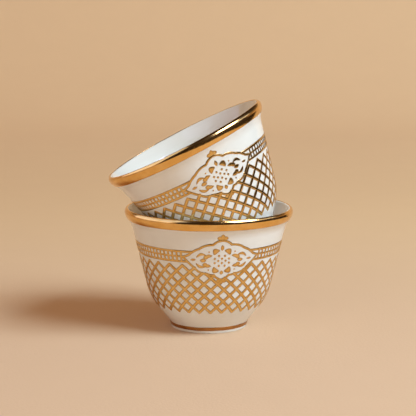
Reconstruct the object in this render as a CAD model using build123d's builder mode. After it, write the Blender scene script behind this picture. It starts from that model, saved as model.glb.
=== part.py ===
from build123d import *
import os
from math import asin, atan2, cos, pi, sin, tan

# Porcelain of one cup, in millimetres
cup_height = 45.4
rim_diameter = 63.0
lip_thickness = 2.0
lip_roll = 1.4
flare_width = 2.55
flare_height = 6.0
neck_radius = 8.0
hip_diameter = 44.2
hip_height = 11.8
hip_radius = 24.0
wall = 2.8
floor_height = 4.4
floor_radius = 11.0
foot_top_diameter = 29.6
foot_diameter = 28.2
foot_height = 2.6
foot_width = 2.2
foot_recess = 1.5
foot_chamfer = 0.4

# Raised gold on the glaze
gold_relief = 0.12
gold_gap = 0.15
rim_gold_height = 4.0
band_drop = 14.2
band_height = 4.4
foot_line_low = 1.2
foot_line_height = 1.2
trellis_count = 30
trellis_low = 8.6
trellis_diamond = 4.44
trellis_line = 1.1
trellis_turn = -2.0

# Cartouche at the front, which breaks into the band and the trellis:
# cusps from its right tip to the top and to the bottom, and the bulge of each scallop
cartouche_below_rim = 14.8
cartouche_upper = ((13.5, 0.0), (8.3, 3.95), (3.4, 5.5), (0.0, 7.1))
cartouche_lower = ((13.5, 0.0), (9.5, -3.5), (5.1, -5.6), (2.8, -6.1), (0.0, -7.9))
upper_scallops = (0.8, 0.5, 0.4)
lower_scallops = (0.2, 0.6, 0.2, 0.3)
frame_width = 0.85
finial_height = 2.1
finial_width = 4.2

# How the second cup leans in the first
lower_turn = 10.2
upper_turn = 16.8
upper_tilt = 27.2
upper_sink = 14.0
stack_clearance = 0.35
profile_steps = 60


# Corners of the path that runs beside another one, to its left
def beside(corners, distance):
    sides = [(b - a).normalized().rotate(Axis.Z, 90) for a, b in zip(corners, corners[1:])]
    sides = [sides[0], *sides, sides[-1]]
    return [
        corner + (before + after) * (distance / (1 + before.dot(after)))
        for corner, before, after in zip(corners, sides, sides[1:])
    ]


# Point at a height on the line through two points
def at_height(start, end, height):
    return start + (end - start) * ((height - start.Y) / (end.Y - start.Y))


# Where the inner wall, straight from a point, touches the round of the lip
def touch_lip(start):
    reach = lip_centre - start
    lean = atan2(reach.X, reach.Y) - asin(lip_radius / reach.length)
    return lip_centre + Vector(-cos(lean), sin(lean)) * lip_radius


# Half section of the cup: x is the radius, y the height
lip_radius = lip_thickness / 2
lip_centre = Vector(rim_diameter / 2, cup_height) - Vector(1, 1) * (lip_radius + gold_relief)
foot_edge = Vector(foot_diameter / 2, 0)
foot_top = Vector(foot_top_diameter / 2, foot_height)
hip = Vector(hip_diameter / 2, hip_height)
neck = Vector(rim_diameter / 2 - flare_width, cup_height - flare_height)
lip_out = lip_centre + Vector(lip_radius, 0)
roll = lip_out - Vector(0, lip_roll)
flare_lean = atan2(roll.X - neck.X, roll.Y - neck.Y)
roll_radius = 0.95 * lip_roll / tan(flare_lean / 2)
outside = [foot_top, hip, neck, roll, lip_out]
outside_radii = [hip_radius, neck_radius, roll_radius]
inside = beside(outside, wall)
inner_hip, inner_neck = inside[1:3]
lip_in = touch_lip(inner_neck)
crest = lip_centre + Vector(0, lip_radius)
floor_corner = at_height(inner_hip, inside[0], floor_height)
floor_middle = Vector(0, floor_height)
recess_middle = Vector(0, foot_recess)
recess_corner = foot_edge + Vector(-foot_width, foot_recess)
foot_inner_edge = foot_edge - Vector(foot_width, 0)
foot_rest = foot_edge - Vector(foot_chamfer, 0)
foot_side = at_height(foot_edge, foot_top, foot_chamfer)

# Flat bevel half way round the outer edge of the lip, where the gold covers it
bevel_turn = atan2(lip_out.Y - lip_centre.Y, lip_out.X - lip_centre.X) / 2 + pi / 4
bevel = lip_centre + Vector(cos(bevel_turn), sin(bevel_turn)) * lip_radius

with BuildPart() as body:
    with BuildSketch(Plane.XZ):
        with BuildLine():
            Polyline(foot_rest, foot_side, foot_top)
            FilletPolyline(*outside, radius=outside_radii)
            Polyline(lip_out, bevel, crest)
            RadiusArc(crest, lip_in, -lip_radius)
            inner = FilletPolyline(
                lip_in, inner_neck, inner_hip, floor_corner, floor_middle,
                radius=[neck_radius + wall, hip_radius - wall, floor_radius],
            )
            Polyline(floor_middle, recess_middle, recess_corner, foot_inner_edge, foot_rest)
        make_face()
    revolve(axis=Axis.Z)

# Gold over the outer half of the lip, down to an even edge below it
rim_edge = at_height(neck, roll, cup_height - rim_gold_height)
rim_glaze = [rim_edge, roll, lip_out]
rim_gold = beside(rim_glaze, -gold_relief)
crest_gold = crest + Vector(0, gold_relief)
with BuildPart() as rim_gilding:
    with BuildSketch(Plane.XZ):
        with BuildLine():
            FilletPolyline(*rim_gold, radius=roll_radius + gold_relief)
            FilletPolyline(*rim_glaze, radius=roll_radius)
            Line(rim_gold[0], rim_edge)
            Polyline(lip_out, bevel, crest, crest_gold)
            RadiusArc(crest_gold, rim_gold[-1], lip_radius + gold_relief)
        make_face()
    revolve(axis=Axis.Z)

# Gold line round the foot
foot_line_glaze = [
    at_height(foot_edge, foot_top, height)
    for height in (foot_line_low, foot_line_low + foot_line_height)
]
with BuildPart() as foot_line:
    with BuildSketch(Plane.XZ):
        with BuildLine():
            Polyline(*foot_line_glaze, *reversed(beside(foot_line_glaze, -gold_relief)), close=True)
        make_face()
    revolve(axis=Axis.Z)

# Section of a gold coat over the whole bowl
with BuildSketch(Plane.XZ) as coat:
    with BuildLine():
        skin = FilletPolyline(
            *beside(outside, -gold_relief),
            radius=[hip_radius + gold_relief, neck_radius - gold_relief, roll_radius + gold_relief],
        )
        glaze = FilletPolyline(*outside, radius=outside_radii)
        Line(skin @ 0, glaze @ 0)
        Line(skin @ 1, glaze @ 1)
    make_face()


# Ring of the coat between two heights
def coat_ring(low, high):
    with BuildPart() as ring:
        with BuildSketch(Plane.XZ):
            add(coat.sketch)
            with Locations((0, low)):
                Rectangle(
                    rim_diameter, high - low, align=(Align.MIN, Align.MIN), mode=Mode.INTERSECT
                )
        revolve(axis=Axis.Z)
    return ring.part


# Outline of the cartouche, grown on all sides
def cartouche(grow):
    width = cartouche_upper[0][0]
    with BuildSketch() as drawn:
        for cusps, bulges in ((cartouche_upper, upper_scallops), (cartouche_lower, lower_scallops)):
            side = 1 if cusps[-1][1] > 0 else -1
            scale = (1 + grow / width, 1 + side * grow / cusps[-1][1])
            points = [(x * scale[0], y * scale[1]) for x, y in cusps]
            with BuildLine():
                for start, end, bulge in zip(points, points[1:], bulges):
                    SagittaArc(start, end, -side * bulge)
                Polyline(points[-1], (0, 0), points[0])
            make_face()
        mirror(about=Plane.YZ)
    return drawn.sketch


# Pointed finials at the top and the bottom of the cartouche
def finials(grow):
    half = finial_width / 2 + grow
    with BuildSketch() as drawn:
        for side, end in ((1, cartouche_upper[-1][1]), (-1, cartouche_lower[-1][1])):
            root = end - side * frame_width
            tip = end + side * (finial_height + grow)
            with BuildLine():
                Polyline((-half, root), (half, root), (0, tip), close=True)
            make_face()
    return drawn.sketch


cartouche_middle = cup_height - cartouche_below_rim
front = Plane((0, 0, cartouche_middle), x_dir=(1, 0, 0), z_dir=(0, -1, 0))

with BuildPart() as cartouche_frame:
    add(
        coat_ring(
            cartouche_middle + cartouche_lower[-1][1] - 2 * finial_height,
            cartouche_middle + cartouche_upper[-1][1] + 2 * finial_height,
        )
    )
    with BuildSketch(front):
        add(cartouche(0))
        add(cartouche(-frame_width), mode=Mode.SUBTRACT)
        add(finials(0))
    extrude(amount=rim_diameter, mode=Mode.INTERSECT)

# Room that the band and the trellis leave for the cartouche
with BuildPart() as cartouche_room:
    with BuildSketch(front):
        add(cartouche(gold_gap))
        add(finials(gold_gap))
    extrude(amount=rim_diameter)

band_low = cup_height - band_drop - band_height / 2
with BuildPart() as border_band:
    add(coat_ring(band_low, band_low + band_height))
    add(cartouche_room.part, mode=Mode.SUBTRACT)

# Bare triangles between the points of the trellis, along its lower and its upper edge
trellis_high = band_low - gold_gap
with BuildPart() as trellis_notches:
    for side, edge, wall_line in ((1, trellis_low, (foot_top, hip)), (-1, trellis_high, (hip, neck))):
        pitch = 2 * pi * at_height(*wall_line, edge).X / trellis_count
        half = (pitch - trellis_line) / 2
        base = edge - side * gold_gap
        with BuildSketch(Plane.XZ):
            with BuildLine():
                Polyline((-half, base), (half, base), (0, edge + side * trellis_diamond / 2), close=True)
            make_face()
        extrude(amount=rim_diameter)

with BuildPart() as trellis:
    add(coat_ring(trellis_low, trellis_high))
    with PolarLocations(0, trellis_count, trellis_turn):
        add(trellis_notches.part, mode=Mode.SUBTRACT)
    add(cartouche_room.part, mode=Mode.SUBTRACT)

# The second cup leans over to the left. It slides forward and to the right in the first one
# until its wall all but meets the front of the mouth, and its foot the inner wall at the right.
tilted = Location((0, 0, 0), (0, -upper_tilt, 0))
upper_axis = (tilted * Location((0, 0, 1))).position
skin_line = [skin.position_at(k / profile_steps) for k in range(profile_steps + 1)]
inner_line = [inner.position_at(1 - k / profile_steps) for k in range(profile_steps + 1)]
half_round = [Vector(1, 0).rotate(Axis.Z, turn) for turn in range(-90, 91, 5)]
mouth_front = [
    step.rotate(Axis.Z, -90) * edge.X + Vector(0, 0, edge.Y)
    for edge in [*inner_line, crest] if edge.Y > neck.Y
    for step in half_round
]
foot_right = [(tilted * Location(step * foot_edge.X)).position for step in half_round]


# Radius of a profile at a height
def radius_at(profile, height):
    for low, high in zip(profile, profile[1:]):
        if height <= high.Y:
            break
    return at_height(low, high, height).X


def mouth_gap(base):
    gaps = []
    for reach in [point - base for point in mouth_front]:
        rise = reach.dot(upper_axis)
        gaps.append((reach - upper_axis * rise).length - radius_at(skin_line, rise))
    return min(gaps)


def foot_gap(base):
    points = [base + point for point in foot_right]
    return min(radius_at(inner_line, p.Z) - Vector(p.X, p.Y).length for p in points)


upper_base = Vector(foot_edge.X, 0, cup_height - upper_sink)
for step in range(20):
    upper_base += Vector(foot_gap(upper_base) - stack_clearance, stack_clearance - mouth_gap(upper_base))

places = {
    "lower": Location((0, 0, 0), (0, 0, lower_turn)),
    "upper": Location(upper_base) * tilted * Location((0, 0, 0), (0, 0, upper_turn)),
}
pieces = {
    "body": body.part,
    "rim_gilding": rim_gilding.part,
    "border_band": border_band.part,
    "cartouche_frame": cartouche_frame.part,
    "trellis": trellis.part,
    "foot_line": foot_line.part,
}

os.makedirs("parts", exist_ok=True)
for cup, place in places.items():
    for name, piece in pieces.items():
        with BuildPart() as placed:
            with Locations(place):
                add(piece)
        placed.part.label = f"{cup}_{name}"
        export_step(placed.part, f"parts/{cup}_{name}.step")
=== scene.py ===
import math
import bpy
import numpy as np
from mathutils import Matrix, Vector


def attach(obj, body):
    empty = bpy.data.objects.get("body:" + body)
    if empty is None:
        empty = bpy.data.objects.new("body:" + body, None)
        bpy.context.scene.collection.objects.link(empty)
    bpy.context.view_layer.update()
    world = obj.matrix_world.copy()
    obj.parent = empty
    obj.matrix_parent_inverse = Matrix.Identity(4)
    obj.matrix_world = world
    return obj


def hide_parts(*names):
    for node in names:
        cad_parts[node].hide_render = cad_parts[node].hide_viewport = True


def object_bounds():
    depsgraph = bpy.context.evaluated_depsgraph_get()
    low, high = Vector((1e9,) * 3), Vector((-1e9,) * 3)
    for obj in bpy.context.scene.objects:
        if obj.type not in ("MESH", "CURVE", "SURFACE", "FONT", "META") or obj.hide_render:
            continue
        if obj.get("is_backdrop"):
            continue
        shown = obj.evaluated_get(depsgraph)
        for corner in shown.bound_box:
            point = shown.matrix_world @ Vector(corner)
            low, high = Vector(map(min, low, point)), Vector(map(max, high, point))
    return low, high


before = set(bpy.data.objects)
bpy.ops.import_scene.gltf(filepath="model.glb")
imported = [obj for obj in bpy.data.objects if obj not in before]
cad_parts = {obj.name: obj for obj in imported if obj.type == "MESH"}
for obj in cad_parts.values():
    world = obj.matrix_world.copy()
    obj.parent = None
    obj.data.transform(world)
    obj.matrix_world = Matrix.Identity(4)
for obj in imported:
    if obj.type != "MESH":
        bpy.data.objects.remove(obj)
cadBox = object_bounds()
scene = bpy.context.scene

# section of one cup in metres, as (radius, height); both cups are turned to it
cup = {
    "lip": [(0.03138, 0.04288), (0.03138, 0.04454), (0.0308, 0.04525), (0.02998, 0.04525)],
    "lipBends": [0.0035, 0.00165, 0.0005, 0.0011], "relief": 0.00012,
    "neck": (0.02895, 0.0394), "neckBend": 0.008,
    "hip": (0.0221, 0.0118), "hipBend": 0.024,
    "footTop": (0.0148, 0.0026), "footTopBend": 0.0006,
    "footRadius": 0.0141, "footWidth": 0.0022, "footRecess": 0.0015, "footRound": 0.0003,
    "wall": 0.0028, "floor": 0.0044, "floorBend": 0.011, "pole": 0.0004,
    "around": 224, "arcSteps": 12, "step": 0.0007, "fineArcSteps": 40, "fineStep": 0.0001,
    "bareHeight": 0.0004, "bareFade": 0.0003,
}


def unit(vectors):
    return vectors / np.linalg.norm(vectors, axis=-1, keepdims=True)


# straight runs joined by tangent arcs: each inner corner gives way to an arc of its bend
def roundedPath(corners, bends, steps=20):
    corners = np.array(corners, float)
    path = [corners[:1]]
    for before, corner, after, bend in zip(corners, corners[1:], corners[2:], bends):
        a, b = unit(before - corner), unit(after - corner)
        half = 0.5 * math.acos(np.dot(a, b))
        centre = corner + unit(a + b) * bend / math.sin(half)
        start, end = corner + a * bend / math.tan(half), corner + b * bend / math.tan(half)
        sweep = math.pi - 2 * half
        t = np.linspace(0, 1, steps)[:, None]
        blend = np.sin((1 - t) * sweep) * (start - centre) + np.sin(t * sweep) * (end - centre)
        path.append(centre + blend / math.sin(sweep))
    return np.vstack(path + [corners[-1:]])


# the same path with points no further apart than step
def refined(path, step):
    counts = np.ceil(np.linalg.norm(np.diff(path, axis=0), axis=1).round(9) / step).astype(int)
    cut = [np.linspace(a, b, n, endpoint=False) for a, b, n in zip(path, path[1:], counts) if n]
    return np.vstack(cut + [path[-1:]])


# corners moved sideways by a distance, to the left of the way along them
def beside(corners, distance):
    corners = np.array(corners, float)
    run = unit(np.diff(corners, axis=0))
    left = np.column_stack((-run[:, 1], run[:, 0]))
    left = np.vstack((left[:1], left, left[-1:]))
    before, after = left[:-1], left[1:]
    reach = distance / (1 + np.sum(before * after, axis=1))
    return corners + (before + after) * reach[:, None]


outerCorners = [cup["footTop"], cup["hip"], cup["neck"], *cup["lip"]]
outerBends = [cup["hipBend"], cup["neckBend"], *cup["lipBends"]]
innerCorners = beside(outerCorners[:4], cup["wall"])
floorShare = (cup["floor"] - innerCorners[0][1]) / (innerCorners[1][1] - innerCorners[0][1])
floorCorner = innerCorners[0] + (innerCorners[1] - innerCorners[0]) * floorShare

# the wall from the foot over the lip, with its outward normal
wall = roundedPath([*outerCorners, innerCorners[2]], outerBends, cup["fineArcSteps"])
wall = refined(wall, cup["fineStep"])
wallRun = unit(np.gradient(wall, axis=0))
wallNormal = np.column_stack((wallRun[:, 1], -wallRun[:, 0]))


# radius and the two parts of the outward normal at a height on the outside
def wallAt(height):
    outside = slice(wall[:, 1].argmax())
    columns = (wall[outside, 0], wallNormal[outside, 0], wallNormal[outside, 1])
    return [np.interp(height, wall[outside, 1], column) for column in columns]


# middle of a solid's surface, each face by its area
def surfaceMiddle(node):
    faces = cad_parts[node].data.polygons
    area, centre = np.zeros(len(faces)), np.zeros(3 * len(faces))
    faces.foreach_get("area", area)
    faces.foreach_get("center", centre)
    return area @ centre.reshape(-1, 3) / area.sum()


# a cup's own axes in the frame: the axis runs through two gold rings, the front faces the cartouche
def cupPlace(name):
    rings = ("foot_line", "rim_gilding", "cartouche_frame")
    foot, rim, face = [surfaceMiddle(f"{name}_{ring}") for ring in rings]
    up = unit(rim - foot)
    base = foot - up * surfaceMiddle("lower_foot_line")[2]
    front = unit(face - base - up * np.dot(face - base, up))
    return base, np.array((np.cross(up, front), -front, up))


# (radius, height) turned round a cup's axis; a turn runs to the right of the cartouche's middle
def aboutAxis(place, radius, height, turn):
    base, axes = place
    local = np.stack(np.broadcast_arrays(radius * np.sin(turn), -radius * np.cos(turn), height), -1)
    return base + local @ axes


# a point lifted off the wall, and the way it faces
def onCup(place, turn, height, lift=0.0):
    radius, outward, upward = wallAt(height)
    facing = (outward * np.sin(turn), -outward * np.cos(turn), upward)
    facing = np.stack(np.broadcast_arrays(*facing), -1) @ place[1]
    return aboutAxis(place, radius + lift * outward, height + lift * upward, turn), facing


# a flat drawing laid on the front: x is the chord from the middle, y the height above it
def onFront(place, drawing, lift=0.0):
    height = cartouche["middle"] + drawing[..., 1]
    return onCup(place, np.arcsin(drawing[..., 0] / wallAt(height)[0]), height, lift)


# skins from rings: strips, stations along each, points round each
# a strip's ends meet in a loop, or get a fan each
def skinMesh(name, rings, marks=None, loop=False):
    strips, stations, around, _ = rings.shape
    spans = stations if loop else stations - 1
    s, i, j = np.meshgrid(np.arange(strips), np.arange(spans), np.arange(around), indexing="ij")
    row = lambda di: (s * stations + (i + di) % stations) * around
    corner = lambda di, dj: (row(di) + (j + dj) % around).ravel()
    quads = np.column_stack((corner(0, 0), corner(1, 0), corner(1, 1), corner(0, 1)))
    points, count = rings.reshape(-1, 3), strips * stations * around
    fans = np.zeros((0, 3), int)
    if not loop:
        s, j = np.meshgrid(np.arange(strips), np.arange(around), indexing="ij")
        edge = lambda station, dj: ((s * stations + station) * around + (j + dj) % around).ravel()
        hub, last = count + s.ravel(), stations - 1
        fans = np.concatenate((
            np.column_stack((hub, edge(0, 0), edge(0, 1))),
            np.column_stack((hub + strips, edge(last, 1), edge(last, 0))),
        ))
        points = np.concatenate((points, rings[:, 0].mean(1), rings[:, -1].mean(1)))
    triangles = np.concatenate((quads[:, :3], quads[:, [0, 2, 3]], fans))
    a, b, c = (points[triangles[:, k]] for k in range(3))
    if np.sum(a * np.cross(b, c)) < 0:
        quads, fans = quads[:, ::-1], fans[:, ::-1]
    mesh = bpy.data.meshes.new(name)
    mesh.from_pydata(points.tolist(), [], quads.tolist() + fans.tolist())
    mesh.polygons.foreach_set("use_smooth", np.ones(len(mesh.polygons), bool))
    for mark, values in (marks or {}).items():
        values = np.broadcast_to(values, rings.shape[:3])
        ends = [] if loop else [values[:, 0].mean(1), values[:, -1].mean(1)]
        layer = mesh.attributes.new(mark, "FLOAT", "POINT")
        layer.data.foreach_set("value", np.concatenate((values.ravel(), *ends)).astype(np.float32))
    mesh.validate()
    return mesh


def addPiece(name, mesh, look, body, node):
    piece = bpy.data.objects.new(name, mesh)
    scene.collection.objects.link(piece)
    mesh.materials.append(look)
    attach(piece, body)
    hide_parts(node)


# low dome of gold on a line: across runs from edge to edge, rise is the share of the lift
ribbon = {
    "across": (1.0, 0.85, 0.65, 0.35, 0.0, -0.35, -0.65, -0.85, -1.0, -1.0, 1.0),
    "rise": (0.08, 0.3, 0.59, 0.88, 1.0, 0.88, 0.59, 0.3, 0.08, 0.0, 0.0),
    "sink": 0.00004, "capSteps": 4, "capLean": math.radians(78), "capFall": 0.4,
}


# ribbon along paths on the wall: its section narrows by a cosine at the round ends
def ribbonRings(path, facing, halfWidth, lift):
    steps = ribbon["capSteps"]
    lean = np.linspace(ribbon["capLean"], 0, steps, endpoint=False)
    reach = np.concatenate((-np.sin(lean), np.zeros(path.shape[1]), np.sin(lean[::-1])))
    broad = np.concatenate((np.cos(lean), np.ones(path.shape[1]), np.cos(lean[::-1])))[:, None]
    along = unit(np.gradient(path, axis=1))
    path, facing, along = (
        np.concatenate((np.repeat(rows[:, :1], steps, 1), rows, np.repeat(rows[:, -1:], steps, 1)), 1)
        for rows in (path, facing, along)
    )
    path = path + along * (reach * halfWidth)[None, :, None]
    side = np.cross(facing, along)
    across, rise = np.array(ribbon["across"]), np.array(ribbon["rise"])
    high = broad ** ribbon["capFall"] * rise * lift - np.where(rise == 0, ribbon["sink"], 0)
    wide = broad * across * halfWidth
    rings = path[:, :, None] + side[:, :, None] * wide[..., None] + facing[:, :, None] * high[..., None]
    # the edge mark, for the painted dark reflection along the line's edges and round ends
    return rings, np.broadcast_to(np.maximum(np.abs(across), 1 - broad), rings.shape[:3])


# rings of a leaf from its edge to its middle: share of its outline, and share of its lift
leaf = {
    "shrink": (1.0, 1.0, 0.9, 0.78, 0.55, 0.3, 0.1),
    "rise": (-0.4, 0.1, 0.45, 0.7, 0.92, 1.0, 1.0), "around": 24,
}


# low domes of gold over outlines: rings shrink towards each outline's middle while they rise
def leafRings(place, outlines, lift):
    shrink, rise = np.array(leaf["shrink"]), np.array(leaf["rise"]) * lift
    middle = outlines.mean(1, keepdims=True)
    drawing = middle[:, None] + (outlines - middle)[:, None] * shrink[None, :, None, None]
    rings, _ = onFront(place, drawing, rise[None, :, None])
    # the edge mark, for the painted dark reflection round each leaf's outline
    return rings, np.broadcast_to(shrink[None, :, None] ** 2, rings.shape[:3])


# leaves of root, tip, half width, bow and bluntness, in millimetres:
# the half width goes as sin(pi t) to the bluntness, the middle line bows to the left of its way
def leafOutlines(leaves):
    leaves = np.array(leaves, float)
    root, tip, half, bow = leaves[:, 0:2], leaves[:, 2:4], leaves[:, 4:5], leaves[:, 5:6]
    u = 2 * math.pi * (np.arange(leaf["around"]) + 0.5) / leaf["around"]
    t = (1 - np.cos(u)) / 2
    swell = np.sin(math.pi * t)
    way = tip - root
    left = unit(np.column_stack((-way[:, 1], way[:, 0])))
    off = bow * swell + np.sign(np.sin(u)) * half * swell ** leaves[:, 6:7]
    points = root[:, None] + way[:, None] * t[None, :, None] + left[:, None] * off[..., None]
    return points / 1000


# arcs from point to point, in millimetres, each bulging to the left of the way by its rise
def bulgedArcs(points, rises, steps=20):
    t = np.linspace(0, 1, steps)
    start, end = np.array(points[:-1]), np.array(points[1:])
    way = end - start
    left = unit(np.column_stack((-way[:, 1], way[:, 0]))) * np.array(rises)[:, None]
    bulge = 4 * t * (1 - t)
    return (start[:, None] + way[:, None] * t[:, None] + left[:, None] * bulge[:, None]) / 1000


# even-odd test of points against a closed outline
def insideOutline(points, outline):
    a, b = outline, np.roll(outline, -1, axis=0)
    x, y = points[..., 0, None], points[..., 1, None]
    crosses = (a[:, 1] > y) != (b[:, 1] > y)
    climb = np.where(b[:, 1] == a[:, 1], 1e-12, b[:, 1] - a[:, 1])
    run = (b[:, 0] - a[:, 0]) * (y - a[:, 1]) / climb + a[:, 0]
    return np.sum(crosses & (x < run), axis=-1) % 2 == 1


# shader values as Python expressions
class Wire:
    def __init__(self, look, socket):
        self.look, self.socket = look, socket

    def combine(self, operation, a, b):
        return self.look.node("ShaderNodeMath", {"operation": operation}, {0: a, 1: b})

    def __add__(self, other):
        return self.combine("ADD", self, other)

    def __sub__(self, other):
        return self.combine("SUBTRACT", self, other)

    def __rsub__(self, other):
        return self.combine("SUBTRACT", other, self)

    def __mul__(self, other):
        return self.combine("MULTIPLY", self, other)

    def __pow__(self, other):
        return self.combine("POWER", self, other)

    __radd__ = __add__
    __rmul__ = __mul__


class Look:
    def __init__(self, name, owner=None):
        self.owner = owner or bpy.data.materials.new(name)
        self.owner.use_nodes = True
        self.tree = self.owner.node_tree
        self.tree.nodes.clear()

    # one node: its settings first, then the values or wires of its sockets
    def node(self, kind, settings=None, sockets=None, output=0):
        made = self.tree.nodes.new(kind)
        for key, value in (settings or {}).items():
            if key == "stops":
                ramp = made.color_ramp
                while len(ramp.elements) < len(value):
                    ramp.elements.new(1.0)
                for element, (place, colour) in zip(ramp.elements, value):
                    element.position, element.color = place, (*colour, 1)
            else:
                setattr(made, key, value)
        for key, value in (sockets or {}).items():
            if isinstance(value, Wire):
                self.tree.links.new(value.socket, made.inputs[key])
            elif isinstance(value, tuple) and len(value) == 3 and made.inputs[key].type == "RGBA":
                made.inputs[key].default_value = (*value, 1)
            else:
                made.inputs[key].default_value = value
        return Wire(self, made.outputs[output]) if made.outputs else None

    def noise(self, scale, detail=3.0, roughness=0.5):
        where = self.node("ShaderNodeTexCoord", output="Object")
        sockets = {"Vector": where, "Scale": scale, "Detail": detail, "Roughness": roughness}
        return self.node("ShaderNodeTexNoise", {}, sockets, "Fac")

    # a value between two limits, stretched to 0 to 1
    def spread(self, value, low, high):
        sockets = {"Value": value, "From Min": low, "From Max": high}
        return self.node("ShaderNodeMapRange", {"interpolation_type": "SMOOTHSTEP"}, sockets)

    def mark(self, name):
        return self.node("ShaderNodeAttribute", {"attribute_name": name}, output="Fac")

    def blendColours(self, share, first, second):
        sockets = {"Factor": share, 6: first, 7: second}
        return self.node("ShaderNodeMix", {"data_type": "RGBA"}, sockets, 2)

    # slow clouds of a second shade in the first
    def clouds(self, scale, detail, first, second):
        return self.blendColours(self.spread(self.noise(scale, detail), 0.3, 0.7), first, second)

    def bump(self, height, distance):
        sockets = {"Height": height, "Distance": distance, "Strength": 1.0}
        return self.node("ShaderNodeBump", {}, sockets)

    def surface(self, sockets):
        shader = self.node("ShaderNodeBsdfPrincipled", {}, sockets)
        self.node("ShaderNodeOutputMaterial", {}, {"Surface": shader})
        return self.owner


porcelain = {
    "glaze": (0.825, 0.852, 0.855), "pooled": (0.795, 0.825, 0.833),
    "inside": (0.77, 0.78, 0.765), "biscuit": (0.74, 0.71, 0.66),
    "glazeRough": 0.08, "biscuitRough": 0.75, "roughVary": 0.05, "refraction": 1.52,
    "cloudScale": 90, "smearScale": 400, "rippleScale": 240, "grainScale": 9000,
    "grainShare": 4, "rippleHeight": 0.00002,
}


# clear glaze with slow clouds and a faint ripple, painted a darker grey within the bowl as painted
# shade; the biscuit shows where the foot stands
def porcelainLook():
    look = Look("porcelain")
    bare = look.mark("bare")
    glaze = look.clouds(porcelain["cloudScale"], 3, porcelain["glaze"], porcelain["pooled"])
    # painted shade: the interior of the bowl gets a darker grey glaze
    glaze = look.blendColours(look.mark("inside"), glaze, porcelain["inside"])
    grain = bare * porcelain["grainShare"] * look.noise(porcelain["grainScale"], 2)
    rough = (1 - bare) * porcelain["glazeRough"] + bare * porcelain["biscuitRough"]
    smear = porcelain["roughVary"] * look.noise(porcelain["smearScale"], 2)
    ripple = look.noise(porcelain["rippleScale"], 2) + grain
    return look.surface({
        "Base Color": look.blendColours(bare, glaze, porcelain["biscuit"]),
        "Roughness": rough + smear,
        "Normal": look.bump(ripple, porcelain["rippleHeight"]),
        "IOR": porcelain["refraction"],
    })


gold = {
    "rim": (0.90, 0.58, 0.21), "rimDeep": (0.83, 0.49, 0.14), "rimRough": 0.14,
    "line": (0.86, 0.61, 0.245), "lineDeep": (0.78, 0.50, 0.16), "lineRough": 0.16,
    "copper": (0.50, 0.255, 0.09), "copperDeep": (0.42, 0.195, 0.06),
    "edge": (0.22, 0.10, 0.025), "edgeShadeShare": 0.85, "edgeRough": 0.25, "roughVary": 0.05,
    "cloudScale": 300, "smearScale": 1500, "grainScale": 2500, "grainHeight": 0.000006,
}


# burnished film: fine cloudy tone, brush grain, and dark brown painted along its edges as painted dark
# reflection off the sloping edges
def goldLook(name, bright, deep, rough):
    look = Look(name)
    film = look.clouds(gold["cloudScale"], 4, bright, deep)
    # painted dark reflection: the edge mark turns the film brown along its edges
    edge = look.mark("edge") ** 2 * gold["edgeShadeShare"]
    smear = gold["roughVary"] * look.noise(gold["smearScale"], 3)
    return look.surface({
        "Base Color": look.blendColours(edge, film, gold["edge"]),
        "Metallic": 1.0,
        "Roughness": rough + smear + gold["edgeRough"] * edge,
        "Normal": look.bump(look.noise(gold["grainScale"], 2), gold["grainHeight"]),
    })


porcelainWhite = porcelainLook()
rimGold = goldLook("rim_gold", gold["rim"], gold["rimDeep"], gold["rimRough"])
lineGold = goldLook("line_gold", gold["line"], gold["lineDeep"], gold["lineRough"])
footGold = goldLook("foot_gold", gold["copper"], gold["copperDeep"], gold["lineRough"])
print("looks ready")

# scalloped cartouche at the front: its middle in metres, cusps and bulges in millimetres from there
cartouche = {
    "middle": 0.0306, "halfLine": 0.00046, "lift": 0.00016,
    "upper": [(13.7, 0.75), (11.8, 1.5), (8.3, 3.95), (3.4, 5.5), (0.0, 7.1)],
    "upperBulge": [-0.04, 0.3, 0.5, 0.4],
    "lower": [(13.7, 0.75), (9.5, -3.5), (5.1, -5.6), (2.8, -6.1), (0.0, -7.9)],
    "lowerBulge": [0.12, 0.6, 0.2, 0.3],
}
mirror = np.array((-1, 1))
upperLobes = bulgedArcs(cartouche["upper"], [-rise for rise in cartouche["upperBulge"]])
lowerLobes = bulgedArcs(cartouche["lower"], cartouche["lowerBulge"])
quarterUp, quarterDown = upperLobes.reshape(-1, 2), lowerLobes.reshape(-1, 2)
cartoucheOutline = np.vstack((
    quarterUp, quarterUp[::-1] * mirror, quarterDown * mirror, quarterDown[::-1],
))

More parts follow.
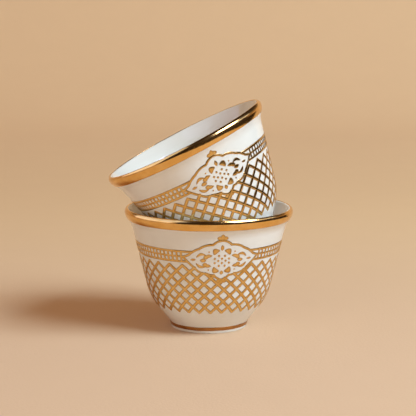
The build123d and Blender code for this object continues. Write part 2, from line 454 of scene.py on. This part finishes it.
# flower inside the cartouche, in millimetres from its own centre
flower = {
    "drop": 0.00065, "lift": 0.00008, "dotHalf": 0.46, "dotBlunt": 0.8,
    # root x, root y, tip x, tip y, half width, bow, bluntness
    "pairs": [
        (1.0, 4.15, 3.1, 2.4, 1.02, 0.65, 0.5), (1.0, -4.15, 3.1, -2.4, 1.02, -0.65, 0.5),
        (3.5, 2.05, 6.5, 1.25, 0.68, 0.2, 0.8), (3.8, -2.1, 6.6, -1.25, 0.68, -0.2, 0.8),
        (4.9, 1.65, 6.7, 1.2, 0.82, 0.0, 0.6), (5.1, -1.7, 6.9, -1.25, 0.82, 0.0, 0.6),
        (5.8, 2.2, 9.2, 1.35, 0.53, 0.8, 0.5), (5.8, -2.35, 9.2, -0.95, 0.53, -0.6, 0.5),
        (5.6, 0.15, 7.9, 0.2, 0.74, 0.0, 0.8), (9.2, 0.4, 11.2, 0.4, 0.46, 0.0, 1.0),
        (4.4, 3.45, 5.1, 3.45, 0.3, 0.0, 1.0), (4.4, -3.45, 5.1, -3.45, 0.3, 0.0, 1.0),
        (0.1, 8.2, 2.05, 8.75, 0.78, 0.15, 0.6), (0.1, -7.4, 2.0, -7.95, 0.7, -0.15, 0.6),
    ],
    "singles": [
        (0.0, 3.8, 0.0, 6.1, 0.62, 0.0, 0.8), (0.0, -3.7, 0.0, -5.4, 0.68, 0.0, 0.8),
        (0.0, 7.4, 0.0, 10.15, 0.95, 0.0, 0.6), (0.0, -6.8, 0.0, -9.2, 0.85, 0.0, 0.6),
    ],
    "dots": [
        (1.1, 1.92), (2.6, 0.8), (-1.1, 1.92), (-2.6, 0.8), (1.1, -1.92), (2.6, -0.8),
        (-1.1, -1.92), (-2.6, -0.8), (0.0, 0.85), (0.0, -0.85), (1.33, 0.0), (-1.33, 0.0),
    ],
}


def flowerOutlines():
    pairs = leafOutlines(flower["pairs"])
    half, blunt = flower["dotHalf"], flower["dotBlunt"]
    dots = [(x - half, y, x + half, y, half, 0, blunt) for x, y in flower["dots"]]
    outlines = np.concatenate((pairs, pairs[:, ::-1] * mirror, leafOutlines(flower["singles"] + dots)))
    return outlines - np.array((0, flower["drop"]))


trellis = {
    "columns": 31, "rows": 8, "low": 0.0093, "halfRow": 0.002325, "halfLine": 0.00059,
    "firstTip": math.radians(-8.5), "lift": 0.00018, "stations": 72, "tries": 600,
}


# lines climb half a column for each half row, from a tip at the bottom to a peak or to the cartouche
def trellisLines():
    pitch = 2 * math.pi / trellis["columns"]
    climb = np.linspace(0, trellis["rows"], trellis["tries"])
    tips = trellis["firstTip"] + pitch * np.tile(np.arange(trellis["columns"]), 2)
    way = np.repeat((-1, 1), trellis["columns"])
    turn = (tips[:, None] + way[:, None] * climb * pitch / 2 + math.pi) % (2 * math.pi) - math.pi
    height = trellis["low"] + trellis["halfRow"] * climb
    drawing = np.broadcast_arrays(wallAt(height)[0] * np.sin(turn), height - cartouche["middle"])
    hidden = insideOutline(np.stack(drawing, -1), cartoucheOutline) & (np.cos(turn) > 0)
    last = np.where(hidden.any(1), hidden.argmax(1), climb.size - 1)
    climb = np.linspace(0, 1, trellis["stations"]) * climb[last][:, None]
    turn = tips[:, None] + way[:, None] * climb * pitch / 2
    return turn, trellis["low"] + trellis["halfRow"] * climb


band = {
    "heights": (0.0333, 0.0314, 0.0295), "halfLines": (0.00049, 0.0004, 0.00047),
    "lift": 0.00017, "stations": 361, "tries": 2000,
    "ticks": 96, "halfTick": 0.00042, "tickLift": 0.000153, "tickStations": 8,
}


# first turn to the right of the cartouche's middle that lies outside its outline
def clearTurn(height):
    turn = np.linspace(0, math.pi / 2, band["tries"])
    rise = np.full(turn.size, height - cartouche["middle"])
    drawing = np.column_stack((wallAt(height)[0] * np.sin(turn), rise))
    return turn[insideOutline(drawing, cartoucheOutline).nonzero()[0].max()]


def bandLines(place):
    for height, half in zip(band["heights"], band["halfLines"]):
        start = clearTurn(height)
        turn = np.linspace(start, 2 * math.pi - start, band["stations"])[None]
        yield ribbonRings(*onCup(place, turn, np.full(turn.shape, height)), half, band["lift"])


def bandTicks(place):
    turn = 2 * math.pi * (np.arange(band["ticks"]) + 0.5) / band["ticks"]
    start = max(clearTurn(height) for height in band["heights"])
    turn = turn[(turn > start) & (turn < 2 * math.pi - start)]
    height = np.linspace(band["heights"][-1], band["heights"][0], band["tickStations"])
    turn, height = np.meshgrid(turn, height, indexing="ij")
    return ribbonRings(*onCup(place, turn, height), band["halfTick"], band["tickLift"])


# gold rings: over the lip down to an edge banded by hand, and round the foot
rim = {"lowEdge": 0.0414, "overCrest": math.radians(100)}
footLine = {"low": 0.00105, "high": 0.00245, "steps": 14}
ring = {
    "around": 240, "sink": 0.00005, "taper": 0.0002, "leastLift": 0.05,
    "edge": 0.0003, "edgeFacing": 0.5,
    # height of the wave, how far in from the edge it dies away, and its sines as cycles, share, phase
    "wave": 0.00004, "waveReach": 0.0008, "waves": ((3, 1.0, 0.4), (8, 0.6, 1.9), (19, 0.4, 0.7)),
}


def rimGlaze():
    lean = np.arctan2(wallNormal[:, 1], wallNormal[:, 0])
    keep = (wall[:, 1] >= rim["lowEdge"]) & (lean <= rim["overCrest"])
    return wall[keep], wallNormal[keep]


def footGlaze():
    run = np.array(cup["footTop"]) - np.array((cup["footRadius"], 0))
    height = np.linspace(footLine["low"], footLine["high"], footLine["steps"])[:, None]
    glaze = np.array((cup["footRadius"], 0)) + run * height / run[1]
    return glaze, np.repeat(unit(np.array(((run[1], -run[0]),))), len(glaze), 0)


# film over a line of the section: it rises off the glaze within its taper,
# its back lies under the glaze, and its two edges waver along the wall as sines of the turn
def ringRings(place, glaze, facing):
    along = np.concatenate(([0], np.cumsum(np.linalg.norm(np.diff(glaze, axis=0), axis=1))))
    margin = np.minimum(along, along[-1] - along)
    lift = cup["relief"] * np.sqrt(np.clip(margin / ring["taper"], ring["leastLift"], 1))
    path = np.vstack((glaze + facing * lift[:, None], (glaze - facing * ring["sink"])[::-1]))
    turn = np.linspace(0, 2 * math.pi, ring["around"], endpoint=False)[:, None]
    waver = ring["wave"] * sum(share * np.sin(n * turn + phase) for n, share, phase in ring["waves"])
    fade = np.clip(1 - margin / ring["waveReach"], 0, 1)
    run = np.column_stack((-facing[:, 1], facing[:, 0])) * fade[:, None]
    run = np.vstack((run, run[::-1]))
    radius, height = (path[:, k] + waver * run[:, k] for k in range(2))
    # edge mark for the painted dark reflection: the film's edges, except where they face upward
    edge = (1 - np.clip(margin / ring["edge"], 0, 1)) * (facing[:, 1] < ring["edgeFacing"])
    return aboutAxis(place, radius, height, turn)[None], np.concatenate((edge, edge[::-1]))


# inner floor and wall, round the lip, down the outer wall, foot ring and recess
def bodyPath():
    footEdge = np.array((cup["footRadius"], 0.0))
    footInner = footEdge - np.array((cup["footWidth"], 0.0))
    recess = np.array((0.0, cup["footRecess"]))
    corners = [
        (cup["pole"], cup["floor"]), floorCorner, *innerCorners[1:3], *outerCorners[::-1],
        footEdge, footInner, footInner + recess, (cup["pole"], cup["footRecess"]),
    ]
    bends = [
        cup["floorBend"], cup["hipBend"] - cup["wall"], cup["neckBend"] + cup["wall"],
        *outerBends[::-1], cup["footTopBend"], *[cup["footRound"]] * 3,
    ]
    return refined(roundedPath(corners, bends, cup["arcSteps"]), cup["step"])


def dress(name):
    place, body = cupPlace(name), f"{name}_cup"

    def lay(piece, rings, marks, look, node, loop=False):
        mesh = skinMesh(f"{name}_{piece}", rings, marks, loop)
        addPiece(f"{name}_{piece}", mesh, look, body, f"{name}_{node}")

    path = bodyPath()
    turn = np.linspace(0, 2 * math.pi, cup["around"], endpoint=False)
    rings = aboutAxis(place, path[:, :1], path[:, 1:], turn)[None]
    bare = np.clip((cup["bareHeight"] - path[:, 1]) / cup["bareFade"], 0, 1)[None, :, None]
    # painted shade: marks the interior of the path, whose glaze is greyed
    inside = (np.arange(len(path)) < path[:, 1].argmax())[None, :, None]
    lay("porcelain", rings, {"bare": bare, "inside": inside}, porcelainWhite, "body")

    rings, edge = ringRings(place, *rimGlaze())
    lay("rim_gold", rings, {"edge": edge}, rimGold, "rim_gilding", loop=True)
    rings, edge = ringRings(place, *footGlaze())
    lay("foot_gold", rings, {"edge": edge}, footGold, "foot_line", loop=True)

    rings, edge = ribbonRings(*onCup(place, *trellisLines()), trellis["halfLine"], trellis["lift"])
    lay("trellis_lines", rings, {"edge": edge}, lineGold, "trellis")
    rings, edge = (np.concatenate(part) for part in zip(*bandLines(place)))
    lay("band_lines", rings, {"edge": edge}, lineGold, "border_band")
    rings, edge = bandTicks(place)
    lay("band_ticks", rings, {"edge": edge}, lineGold, "border_band")

    halves = np.concatenate((upperLobes, lowerLobes))
    lobes = np.concatenate((halves, halves[:, ::-1] * mirror))
    rings, edge = ribbonRings(*onFront(place, lobes), cartouche["halfLine"], cartouche["lift"])
    lay("cartouche_line", rings, {"edge": edge}, lineGold, "cartouche_frame")
    rings, edge = leafRings(place, flowerOutlines(), flower["lift"])
    lay("flower", rings, {"edge": edge}, lineGold, "cartouche_frame")
    print(name, "cup dressed")


for name in ("lower", "upper"):
    dress(name)


# open sheet over a grid of points
def addSheet(name, grid, look):
    rows, columns = grid.shape[:2]
    i, j = np.meshgrid(np.arange(rows - 1), np.arange(columns - 1), indexing="ij")
    corner = lambda di, dj: ((i + di) * columns + j + dj).ravel()
    quads = np.column_stack((corner(0, 0), corner(1, 0), corner(1, 1), corner(0, 1)))
    mesh = bpy.data.meshes.new(name)
    mesh.from_pydata(grid.reshape(-1, 3).tolist(), [], quads.tolist())
    mesh.polygons.foreach_set("use_smooth", np.ones(len(mesh.polygons), bool))
    mesh.materials.append(look)
    sheet = bpy.data.objects.new(name, mesh)
    scene.collection.objects.link(sheet)
    sheet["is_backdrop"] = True
    return sheet


# floor and backdrop in one sweep of card, a little deeper in colour towards the back, and painted
# lighter there as painted light on the backdrop
sweepCard = {
    "front": -4.5, "back": 1.0, "bend": 0.4, "top": 0.5, "halfWidth": 4.5,
    "near": (0.725, 0.51, 0.34), "middle": (0.79, 0.568, 0.338), "far": (0.89, 0.67, 0.435),
    "lines": (-0.05, 0.27, 0.75), "fleck": (0.3, 0.2, 0.11), "fleckShare": 0.06, "fleckScale": 45,
    "rough": 0.9, "grainScale": 900, "grainHeight": 0.0001, "arcSteps": 40,
}


def cardLook():
    look = Look("card")
    where = look.node("ShaderNodeTexCoord", output="Object")
    depth = look.node("ShaderNodeSeparateXYZ", {}, {"Vector": where}, "Y")
    near, middle, far = sweepCard["lines"]
    # painted light: the far colour is lighter to stand for more light on the backdrop
    colour = look.blendColours(look.spread(depth, near, middle), sweepCard["near"], sweepCard["middle"])
    colour = look.blendColours(look.spread(depth, middle, far), colour, sweepCard["far"])
    flecks = sweepCard["fleckShare"] * look.noise(sweepCard["fleckScale"], 8, 0.65)
    return look.surface({
        "Base Color": look.blendColours(flecks, colour, sweepCard["fleck"]),
        "Roughness": sweepCard["rough"],
        "Normal": look.bump(look.noise(sweepCard["grainScale"], 4), sweepCard["grainHeight"]),
    })


back, top = sweepCard["back"], sweepCard["top"]
path = [(sweepCard["front"], 0), (back, 0), (back, top)]
path = roundedPath(path, [sweepCard["bend"]], sweepCard["arcSteps"])
side = sweepCard["halfWidth"] * np.array((-1, 1))[:, None]
addSheet("card", np.stack(np.broadcast_arrays(side, path[:, 0], path[:, 1]), -1), cardLook())

# dark room before and right of the table, seen in the gold and the glaze alone:
# its near edge and its top as (degrees to the right of the front, metres)
room = {
    "from": -45, "to": 130, "steps": 60, "far": 0.9, "above": 0.002, "colour": (0.036, 0.025, 0.018),
    "edge": (
        (-45, 0.45), (-30, 0.4), (0, 0.3), (24, 0.26), (35, 0.255), (42, 0.268), (47, 0.285),
        (52, 0.29), (58, 0.31), (64, 0.36), (75, 0.31), (90, 0.25), (130, 0.2),
    ),
    "tops": ((-45, 0.6), (92, 0.6), (106, 0.25), (130, 0.2)),
}


def roomLook():
    look = Look("room")
    return look.surface({"Base Color": room["colour"], "Roughness": 1.0, "Specular IOR Level": 0.0})


turn = np.linspace(room["from"], room["to"], room["steps"])
edge, top = (np.interp(turn, *zip(*room[line])) for line in ("edge", "tops"))
far, low = np.full(turn.size, room["far"]), np.full(turn.size, room["above"])
radius, height = np.column_stack((edge, far, far)), np.column_stack((low, low, top))
turn = np.radians(turn)[:, None]
grid = np.stack((radius * np.sin(turn), -radius * np.cos(turn), height), -1)
roomSheet = addSheet("room", grid, roomLook())
roomSheet.visible_camera = roomSheet.visible_diffuse = False
roomSheet.visible_shadow = roomSheet.visible_transmission = False

# world: what the lens and the gold see round the horizon, and a warm fill for the rest
sky = {
    "stops": [(0.0, (0.45, 0.30, 0.18)), (0.3, (0.30, 0.20, 0.12)), (0.55, (0.036, 0.025, 0.018))],
    "fill": (0.375, 0.21, 0.085),
}
look = Look("sky", bpy.data.worlds.new("sky"))
scene.world = look.owner
where = look.node("ShaderNodeTexCoord", output="Generated")
rise = look.node("ShaderNodeSeparateXYZ", {}, {"Vector": where}, "Z")
ramp = look.node("ShaderNodeValToRGB", {"stops": sky["stops"]}, {"Fac": rise})
rays = ("Camera", "Glossy", "Transmission")
direct, glossy, through = (look.node("ShaderNodeLightPath", output=f"Is {ray} Ray") for ray in rays)
glow = look.blendColours(direct + glossy + through, sky["fill"], ramp)
shine = look.node("ShaderNodeBackground", {}, {"Color": glow})
look.node("ShaderNodeOutputWorld", {}, {"Surface": shine})

# soft box at the right, with a cooler face that the gold sees, broad fill from the front left,
# white reflector at the left and a narrow card at the right, both for the gold
lamps = {
    "soft_box": {
        "place": (0.766, -0.479, 0.945), "size": (0.6, 0.6), "power": 18.3, "colour": (0.72, 0.90, 1.0),
        "hiddenFrom": "glossy",
    },
    "soft_box_glow": {
        "place": (0.756, -0.473, 0.933), "size": (0.72, 0.66), "power": 23, "colour": (0.66, 0.7, 1.0),
        "hiddenFrom": "diffuse",
    },
    "fill_box": {
        "place": (-0.72, -0.98, 0.36), "size": (0.9, 0.9), "power": 2.4, "colour": (0.96, 1.0, 1.0),
        "hiddenFrom": "glossy",
    },
    "reflector": {
        "place": (-0.897, -0.078, 0.62), "size": (1.5, 1.2), "power": 8.0, "colour": (0.58, 0.64, 1.0),
        "hiddenFrom": "diffuse",
    },
    "side_card": {
        "place": (0.834, -0.088, 0.585), "size": (0.85, 0.22), "power": 0.75, "colour": (0.6, 0.68, 1.0),
        "hiddenFrom": "diffuse",
    },
}
lampAim = Vector((0, 0, 0.04))


def addLamp(name, box):
    lamp = bpy.data.lights.new(name, "AREA")
    lamp.shape, lamp.energy, lamp.color = "RECTANGLE", box["power"], box["colour"]
    lamp.size, lamp.size_y = box["size"]
    holder = bpy.data.objects.new(name, lamp)
    scene.collection.objects.link(holder)
    holder.location = box["place"]
    holder.rotation_euler = (lampAim - holder.location).to_track_quat("-Z", "Y").to_euler()
    holder.visible_camera = False
    setattr(holder, f"visible_{box['hiddenFrom']}", False)


for name, box in lamps.items():
    addLamp(name, box)
print("studio ready")

# camera of the photograph
view = {
    "target": (-0.0003, 0, 0.04487), "rise": math.radians(9.49), "distance": 0.6,
    "lens": 138.6, "sensor": 36, "clip": (0.01, 20),
}
eye = bpy.data.cameras.new("eye")
eye.lens, eye.sensor_width = view["lens"], view["sensor"]
eye.clip_start, eye.clip_end = view["clip"]
camera = bpy.data.objects.new("eye", eye)
scene.collection.objects.link(camera)
away = Vector((0, -math.cos(view["rise"]), math.sin(view["rise"])))
camera.location = Vector(view["target"]) + away * view["distance"]
camera.rotation_euler = (-away).to_track_quat("-Z", "Y").to_euler()
scene.camera = camera
scene.view_settings.view_transform = "Standard"

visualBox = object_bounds()
{"cad": [list(corner) for corner in cadBox], "visual": [list(corner) for corner in visualBox]}
